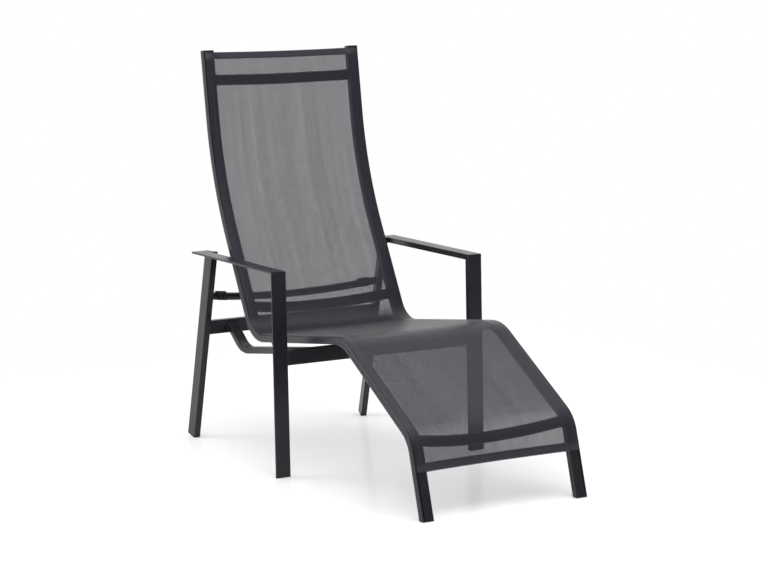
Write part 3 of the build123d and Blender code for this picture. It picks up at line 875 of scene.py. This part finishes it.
@dataclass
class WeldBeads:
    """Rippled weld beads round the ends of the stand's bars, under the same coat, in millimetres."""

    finishes: dict[Finish, bpy.types.Material]
    radius: float = 1.9
    ripple: float = 2.6
    ripple_share: float = 0.16
    step: float = 0.9
    sides: int = 8
    foot_band: float = 12.0
    top_band: float = 2.0
    armrest_depth: float = 40.0
    joint_depth: float = 16.0

    def build(self) -> None:
        """Lay every bead of the stand in one piece."""
        loops = []
        for node in ("front_crossbar", "lower_rear_crossbar", "upper_rear_crossbar"):
            loops += [end_outline(node, Vector((sign, 0, 0))) for sign in (-1, 1)]
        for side in ("left", "right"):
            loops += [end_outline(f"{side}_support_tube", Vector((0, sign, 0))) for sign in (-1, 1)]
        points: list[Point] = []
        faces: list[Sequence[int]] = []
        for loop in loops:
            self._bead(loop + loop[:1], True, points, faces)
        for side in ("left", "right"):
            self._bead(self._armrest_joint(side), False, points, faces)
        beads = build_mesh("weld_beads", points, faces)
        dress(beads, self.finishes[Finish.POWDER_COAT])
        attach(beads, "stand")
        log.info("built %s", beads.name)

    def _armrest_joint(self, side: str) -> list[Point]:
        """Find the line where a rear leg's outer face meets the armrest, along its lower edge and its front.

        Args:
            side: "left" or "right".

        Returns:
            Corner points of the line, in metres.
        """
        low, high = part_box(f"{side}_rear_leg")
        arm_low, arm_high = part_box(f"{side}_armrest")
        x = high.x if side == "left" else low.x
        places = [v.co for v in frame["nodes"][f"{side}_rear_leg"].data.vertices]
        foot_y = min(p.y for p in places if p.z < low.z + self.foot_band * MM)
        top_y = min(p.y for p in places if p.z > high.z - self.top_band * MM)
        lean = (foot_y - top_y) / (high.z - low.z)
        beside = arm_low.z > high.z - self.armrest_depth * MM
        bottom = arm_low.z if beside else high.z - self.joint_depth * MM
        front = [Vector((x, top_y + lean * (high.z - z), z)) for z in (bottom, (bottom + high.z) / 2, high.z)]
        depth = high.y - low.y - (foot_y - top_y)
        return [Vector((x, min(front[0].y + depth, arm_high.y), bottom)), *front]

    def _bead(self, path: list[Point], closed: bool, points: list[Point], faces: list[Sequence[int]]) -> None:
        """Sweep a rippled round bead along a path.

        Args:
            path: Corner points, the first repeated at the end if closed.
            closed: Whether the bead closes on itself.
            points: Vertices, which grow.
            faces: Faces, which grow.
        """
        steps = evenly([(place, Vector()) for place in path], self.step * MM)
        centre = sum((place for place, _, _ in steps), Vector()) / len(steps)
        start, count = len(points), len(steps)
        for i, (place, along, _) in enumerate(steps):
            outward = place - centre
            outward = (outward - along * outward.dot(along)).normalized()
            across = along.cross(outward)
            wave = abs(math.sin(math.pi * i * self.step / self.ripple))
            radius = self.radius * MM * (1 - self.ripple_share * (1 - wave))
            for side in range(self.sides):
                turn = math.tau * side / self.sides
                points.append(place + outward * radius * math.cos(turn) + across * radius * math.sin(turn))
        for i in range(count if closed else count - 1):
            for side in range(self.sides):
                a, b = i * self.sides + side, i * self.sides + (side + 1) % self.sides
                c, d = [(k + self.sides) % (count * self.sides) for k in (b, a)]
                faces.append([start + k for k in (a, b, c, d)])
        if not closed:
            faces.append([start + k for k in reversed(range(self.sides))])
            faces.append([start + (count - 1) * self.sides + k for k in range(self.sides)])


@dataclass
class CoatedFrame:
    """The rigid pieces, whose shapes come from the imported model."""

    finishes: dict[Finish, bpy.types.Material]

    def build(self) -> None:
        """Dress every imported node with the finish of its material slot."""
        for part in frame["record"]["subparts"]:
            node = frame["nodes"][part["node"]]
            dress(node, self.finishes[Finish(part["material_slot"])])
            log.info("dressed %s as %s", part["node"], part["material_slot"])


@dataclass(frozen=True)
class PaintedFloor:
    """Near-white floor paint with a faint gloss, plain white to the camera outside the object's shadow."""

    colour: str = "#f2f2f3"
    lift: float = 0.19
    gloss: float = 0.08
    gloss_roughness: float = 0.16

    def material(self) -> bpy.types.Material:
        """Build the floor's material.

        Returns:
            The new material.
        """
        material, tree = new_material("painted_floor")
        paint = add_node(tree, "ShaderNodeBsdfDiffuse", inputs={"Color": linear(self.colour)})
        path = add_node(tree, "ShaderNodeLightPath")
        strength = add_node(tree, "ShaderNodeMath", {"operation": "MULTIPLY"}, {
            0: path.outputs["Is Camera Ray"], 1: self.lift})
        lift = add_node(tree, "ShaderNodeEmission", inputs={"Color": WHITE, "Strength": strength.outputs[0]})
        both = add_node(tree, "ShaderNodeAddShader", inputs={0: paint.outputs[0], 1: lift.outputs[0]})
        gloss = add_node(tree, "ShaderNodeBsdfPrincipled", inputs={
            "Base Color": linear(self.colour), "Metallic": 1.0, "Roughness": self.gloss_roughness})
        layered = add_node(tree, "ShaderNodeMixShader", inputs={
            0: self.gloss, 1: both.outputs[0], 2: gloss.outputs[0]})
        finish_surface(tree, layered)
        return material


@dataclass(frozen=True)
class Lamp:
    """A square soft lamp, in metres and watts."""

    name: str
    place: Place
    target: Place
    side: float
    power: float

    def build(self) -> None:
        """Hang the lamp so that it faces its target."""
        data = bpy.data.lights.new(self.name, "AREA")
        data.shape, data.size, data.energy = "SQUARE", self.side, self.power
        lamp = bpy.data.objects.new(self.name, data)
        lamp.location = self.place
        lamp.rotation_euler = (Vector(self.place) - Vector(self.target)).to_track_quat("Z", "Y").to_euler()
        bpy.context.scene.collection.objects.link(lamp)


@dataclass
class Studio:
    """A pale floor in a white room, large soft lamps and the photograph's camera."""

    floor_half_m: float = 1.7
    floor_drop_mm: float = 0.5
    lamps: tuple[Lamp, ...] = (Lamp("overhead_lamp", (-0.2, -0.9, 3.3), (0, 0.1, 0.4), 3.2, 47.0),
                               Lamp("rear_left_lamp", (-3.2, 2.2, 2.2), (0, 0, 0.5), 2.4, 48.0))
    room_level: float = 0.84
    dim_level: float = 0.2
    bright_level: float = 1.04
    bright_side: Place = (-0.45, 0.8, 0.4)
    bright_from: float = -0.6
    bright_to: float = 0.45
    camera_place_mm: Place = (-3383.2, -5472.1, 1513.6)
    camera_turn_deg: Place = (80.98, 0.0, -31.764)
    lens_mm: float = 111.4
    sensor_mm: float = 36.0

    def build(self) -> None:
        """Build the camera, the floor, the room's light and the lamps."""
        self._camera()
        self._floor()
        self._room()
        for lamp in self.lamps:
            lamp.build()
        log.info("built the studio")

    def _camera(self) -> None:
        """Place the camera where the photograph was taken from."""
        data = bpy.data.cameras.new("photo_camera")
        data.lens, data.sensor_width = self.lens_mm, self.sensor_mm
        camera = bpy.data.objects.new("photo_camera", data)
        camera.location = Vector(self.camera_place_mm) * MM
        camera.rotation_euler = [math.radians(a) for a in self.camera_turn_deg]
        bpy.context.scene.collection.objects.link(camera)
        bpy.context.scene.camera = camera

    def _floor(self) -> None:
        """Lay the painted floor just under the chair's feet."""
        half, level = self.floor_half_m, -self.floor_drop_mm * MM
        corners = [Vector((x * half, y * half, level)) for x, y in ((-1, -1), (1, -1), (1, 1), (-1, 1))]
        floor = build_mesh("studio_floor", corners, [(0, 1, 2, 3)])
        dress(floor, PaintedFloor().material())

    def _room(self) -> None:
        """Light the room: white where it is seen, and brighter behind the chair in reflections."""
        world = bpy.data.worlds.new("white_room")
        bpy.context.scene.world = world
        world.use_nodes = True
        tree = world.node_tree
        tree.nodes.clear()
        path = add_node(tree, "ShaderNodeLightPath")
        place = add_node(tree, "ShaderNodeTexCoord")
        side = add_node(tree, "ShaderNodeVectorMath", {"operation": "DOT_PRODUCT"}, {
            0: place.outputs["Generated"], 1: Vector(self.bright_side).normalized()})
        glow = add_node(tree, "ShaderNodeMapRange", {"interpolation_type": "SMOOTHSTEP"}, {
            "From Min": self.bright_from, "From Max": self.bright_to, "To Min": self.dim_level,
            "To Max": self.bright_level, "Value": side.outputs["Value"]})
        lit = add_node(tree, "ShaderNodeMix", {"data_type": "FLOAT"}, {
            "Factor": path.outputs["Is Glossy Ray"], "A": self.room_level, "B": glow.outputs["Result"]})
        clear = add_node(tree, "ShaderNodeMath", {"operation": "MAXIMUM"}, {
            0: path.outputs["Is Camera Ray"], 1: path.outputs["Is Transmission Ray"]})
        level = add_node(tree, "ShaderNodeMix", {"data_type": "FLOAT"}, {
            "Factor": clear.outputs[0], "A": lit.outputs["Result"], "B": 1.0})
        background = add_node(tree, "ShaderNodeBackground", inputs={
            "Color": WHITE, "Strength": level.outputs["Result"]})
        add_node(tree, "ShaderNodeOutputWorld", inputs={"Surface": background.outputs[0]})


def main() -> None:
    """Build the chair's looks and its studio, in order."""
    logging.basicConfig(level=logging.INFO, format="%(name)s: %(message)s")
    bpy.context.scene.view_settings.view_transform = "Standard"
    Studio().build()
    finishes = make_finishes()
    CoatedFrame(finishes).build()
    # The yarn is round, so it is widest at its core and the holes are smallest there.
    core = WovenMesh("woven_mesh_core", hole_share=0.5)
    # Three plies of the mesh sewn over each other: the holes are nearly closed.
    # Its colours are painted lighter than the sheet's same yarn: painted light on the hem.
    folded = WovenMesh("folded_mesh_painted_lighter", "#4b4852", "#3c3943", hole_share=0.2)
    # Bonded polyester thread in the yarn's own charcoal, a little glossy, drawn at twice its real thickness.
    # Its colour is painted lighter than that charcoal: a painted sheen so that the stitches show.
    thread = GrainedSolid("polyester_thread_painted_sheen", "#474550", "#54525d", 0.42, grain_mm=0.5)
    Sling(finishes, core.material(), folded.material(), thread.material()).build()
    WeldBeads(finishes).build()
    log.info("wrote the two boxes")


if __name__ == "__main__":
    main()
